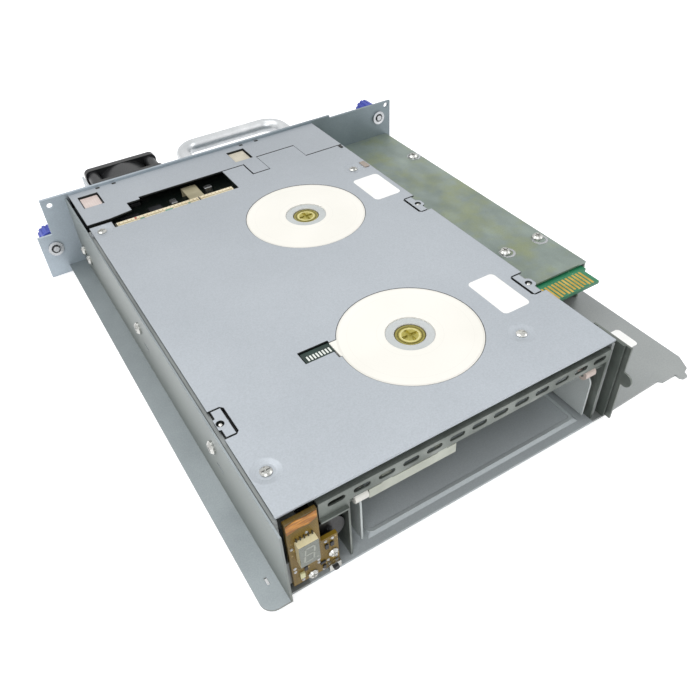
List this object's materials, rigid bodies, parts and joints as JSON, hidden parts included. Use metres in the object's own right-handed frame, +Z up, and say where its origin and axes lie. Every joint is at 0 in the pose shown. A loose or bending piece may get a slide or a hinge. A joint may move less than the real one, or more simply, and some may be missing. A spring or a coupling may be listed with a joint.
{
  "type": "tape drive",
  "caption": "Half-height cartridge tape drive on an open sheet-metal library sled, with a fan and a pull handle on its rear panel and an edge-card interface channel beside it.",
  "frame": {"origin": "on the sled's resting face, under the middle of the drive's width, in the plane of the cover's front edge", "axes": "+X to the right seen from the cartridge slot, +Y from the slot to the rear panel, +Z up"},
  "size_m": [0.225, 0.2853, 0.0443],
  "materials": {
    "zinc_sheet": "zinc-plated sheet, blotchy satin",
    "bright_sheet": "plated sheet, satin",
    "dark_sheet": "dark passivated sheet",
    "chassis_sheet": "plated sheet",
    "cover_sheet": "bluish grey satin sheet",
    "screw_steel": "plated fastener steel",
    "ground_steel": "ground steel",
    "handle_aluminium": "satin rod",
    "fan_plastic": "black glass-filled plastic",
    "knob_blue": "blue plastic knob on a steel screw",
    "board_green": "green circuit board",
    "plug_shell": "nickel-plated shell",
    "disc_white": "warm white motor base",
    "hub_brass": "turned brass",
    "coil_copper": "wound copper poles",
    "rotor_steel": "drawn steel cup",
    "reel_plastic": "dark grey moulded plastic",
    "connector_green": "dark green moulded plug",
    "connector_cream": "cream moulded strip",
    "flex_amber": "beige flexible circuit",
    "roller_white": "white moulded plastic",
    "roller_pink": "pinkish moulded plastic",
    "carriage_sheet": "plated sheet",
    "motor_case": "black motor case",
    "screw_plastic": "pale acetal",
    "head_ceramic": "lapped head",
    "board_brown": "olive brown circuit board",
    "display_dark": "dark display block",
    "switch_case": "plated switch case",
    "button_black": "black button",
    "led_clear": "clear lamp",
    "pad_beige": "beige tabs"
  },
  "bodies": {
    "drive": {"base_tray": "zinc_sheet", "left_rail": "bright_sheet", "right_rail": "zinc_sheet", "front_bracket": "dark_sheet", "rear_panel": "bright_sheet", "rear_cover": "cover_sheet", "handle": "handle_aluminium", "fan_bracket": "bright_sheet", "fan_frame": "fan_plastic", "panel_screws": "screw_steel", "screw_ferrules": "ground_steel", "channel_cover": "zinc_sheet", "channel_screws": "screw_steel", "interface_board": "board_green", "host_connector": "plug_shell", "side_screws": "screw_steel", "drive_chassis": "chassis_sheet", "top_cover": "cover_sheet", "front_frame": "dark_sheet", "cover_screws": "screw_steel", "motor_discs": "disc_white", "motor_hubs": "hub_brass", "motor_stators": "coil_copper", "motor_connector": "connector_green", "logic_board": "board_green", "edge_connector": "connector_cream", "flex_cable": "flex_amber", "head_base": "chassis_sheet", "head_motor": "motor_case", "guide_posts": "ground_steel", "slot_bar": "roller_white", "load_motor": "motor_case", "display_board": "board_brown", "digit_display": "display_dark", "board_screws": "screw_steel", "switch_frame": "switch_case", "status_led": "led_clear", "window_pads": "pad_beige"},
    "carriage": {"carriage": "carriage_sheet"},
    "load_screw": {"load_screw": "screw_plastic"},
    "load_pinion": {"load_pinion": "hub_brass"},
    "supply_motor": {"supply_rotor": "rotor_steel", "supply_clutch": "reel_plastic"},
    "takeup_motor": {"takeup_rotor": "rotor_steel", "takeup_reel": "reel_plastic"},
    "head": {"head_carriage": "reel_plastic", "tape_head": "head_ceramic"},
    "head_screw": {"head_screw": "ground_steel"},
    "guide_roller_1": {"guide_roller_1": "roller_white"},
    "guide_roller_2": {"guide_roller_2": "roller_white"},
    "guide_roller_3": {"guide_roller_3": "roller_white"},
    "guide_roller_4": {"guide_roller_4": "roller_white"},
    "left_slot_roller": {"left_slot_roller": "roller_white"},
    "right_slot_roller": {"right_slot_roller": "roller_pink"},
    "fan_wheel": {"fan_rotor": "fan_plastic"},
    "left_ring": {"left_screw_ring": "ground_steel"},
    "left_screw": {"left_thumbscrew": "knob_blue"},
    "right_ring": {"right_screw_ring": "ground_steel"},
    "right_screw": {"right_thumbscrew": "knob_blue"},
    "button": {"switch_button": "button_black"}
  },
  "joints": [
    {"name": "carriage_slide", "type": "slide", "parent": "drive", "child": "carriage", "axis": [0, 1, 0], "range_m": [0, 0.02]},
    {"name": "load_screw_spin", "type": "hinge", "parent": "drive", "child": "load_screw", "pos_m": [-0.054, 0.0244, 0.031], "axis": [0, 1, 0], "range_deg": [-1, 721]},
    {"name": "load_pinion_spin", "type": "hinge", "parent": "drive", "child": "load_pinion", "pos_m": [-0.054, 0.0244, 0.0205], "axis": [0, 1, 0], "range_deg": [-1802, 1]},
    {"name": "supply_spin", "type": "hinge", "parent": "drive", "child": "supply_motor", "pos_m": [0.0111, 0.0467, 0.035], "axis": [0, 0, 1], "continuous": true},
    {"name": "takeup_spin", "type": "hinge", "parent": "drive", "child": "takeup_motor", "pos_m": [0.0204, 0.1468, 0.03], "axis": [0, 0, 1], "continuous": true},
    {"name": "head_slide", "type": "slide", "parent": "drive", "child": "head", "axis": [0, 0, 1], "range_m": [-0.004, 0.004]},
    {"name": "head_screw_spin", "type": "hinge", "parent": "drive", "child": "head_screw", "pos_m": [-0.05, 0.128, 0.02], "axis": [0, 0, 1], "range_deg": [-361, 361]},
    {"name": "guide_roller_1_spin", "type": "hinge", "parent": "drive", "child": "guide_roller_1", "pos_m": [-0.042, 0.108, 0.019], "axis": [0, 0, 1], "continuous": true},
    {"name": "guide_roller_2_spin", "type": "hinge", "parent": "drive", "child": "guide_roller_2", "pos_m": [-0.054, 0.117, 0.019], "axis": [0, 0, 1], "continuous": true},
    {"name": "guide_roller_3_spin", "type": "hinge", "parent": "drive", "child": "guide_roller_3", "pos_m": [-0.054, 0.157, 0.019], "axis": [0, 0, 1], "continuous": true},
    {"name": "guide_roller_4_spin", "type": "hinge", "parent": "drive", "child": "guide_roller_4", "pos_m": [-0.042, 0.166, 0.019], "axis": [0, 0, 1], "continuous": true},
    {"name": "left_slot_roller_spin", "type": "hinge", "parent": "drive", "child": "left_slot_roller", "pos_m": [-0.0414, 0.0015, 0.0302], "axis": [1, 0, 0], "continuous": true},
    {"name": "right_slot_roller_spin", "type": "hinge", "parent": "drive", "child": "right_slot_roller", "pos_m": [0.0627, 0.0015, 0.0302], "axis": [1, 0, 0], "continuous": true},
    {"name": "fan_spin", "type": "hinge", "parent": "drive", "child": "fan_wheel", "pos_m": [-0.0378, 0.246, 0.023], "axis": [0, 1, 0], "continuous": true},
    {"name": "left_screw_push", "type": "slide", "parent": "drive", "child": "left_ring", "axis": [0, -1, 0], "range_m": [0, 0.006], "stiffness_N_per_m": 150},
    {"name": "left_screw_turn", "type": "hinge", "parent": "left_ring", "child": "left_screw", "pos_m": [-0.0869, 0.246, 0.0165], "axis": [0, 1, 0], "continuous": true},
    {"name": "right_screw_push", "type": "slide", "parent": "drive", "child": "right_ring", "axis": [0, -1, 0], "range_m": [0, 0.006], "stiffness_N_per_m": 150},
    {"name": "right_screw_turn", "type": "hinge", "parent": "right_ring", "child": "right_screw", "pos_m": [0.1202, 0.246, 0.034], "axis": [0, 1, 0], "continuous": true},
    {"name": "button_press", "type": "slide", "parent": "drive", "child": "button", "axis": [0, 1, 0], "range_m": [0, 0.0003], "stiffness_N_per_m": 700}
  ],
  "couplings": [
    {"joint": "load_screw_spin", "follows": "carriage_slide", "rad_per_m": 628.32},
    {"joint": "load_pinion_spin", "follows": "carriage_slide", "rad_per_m": -1570.8},
    {"joint": "head_screw_spin", "follows": "head_slide", "rad_per_m": 1570.8}
  ]
}
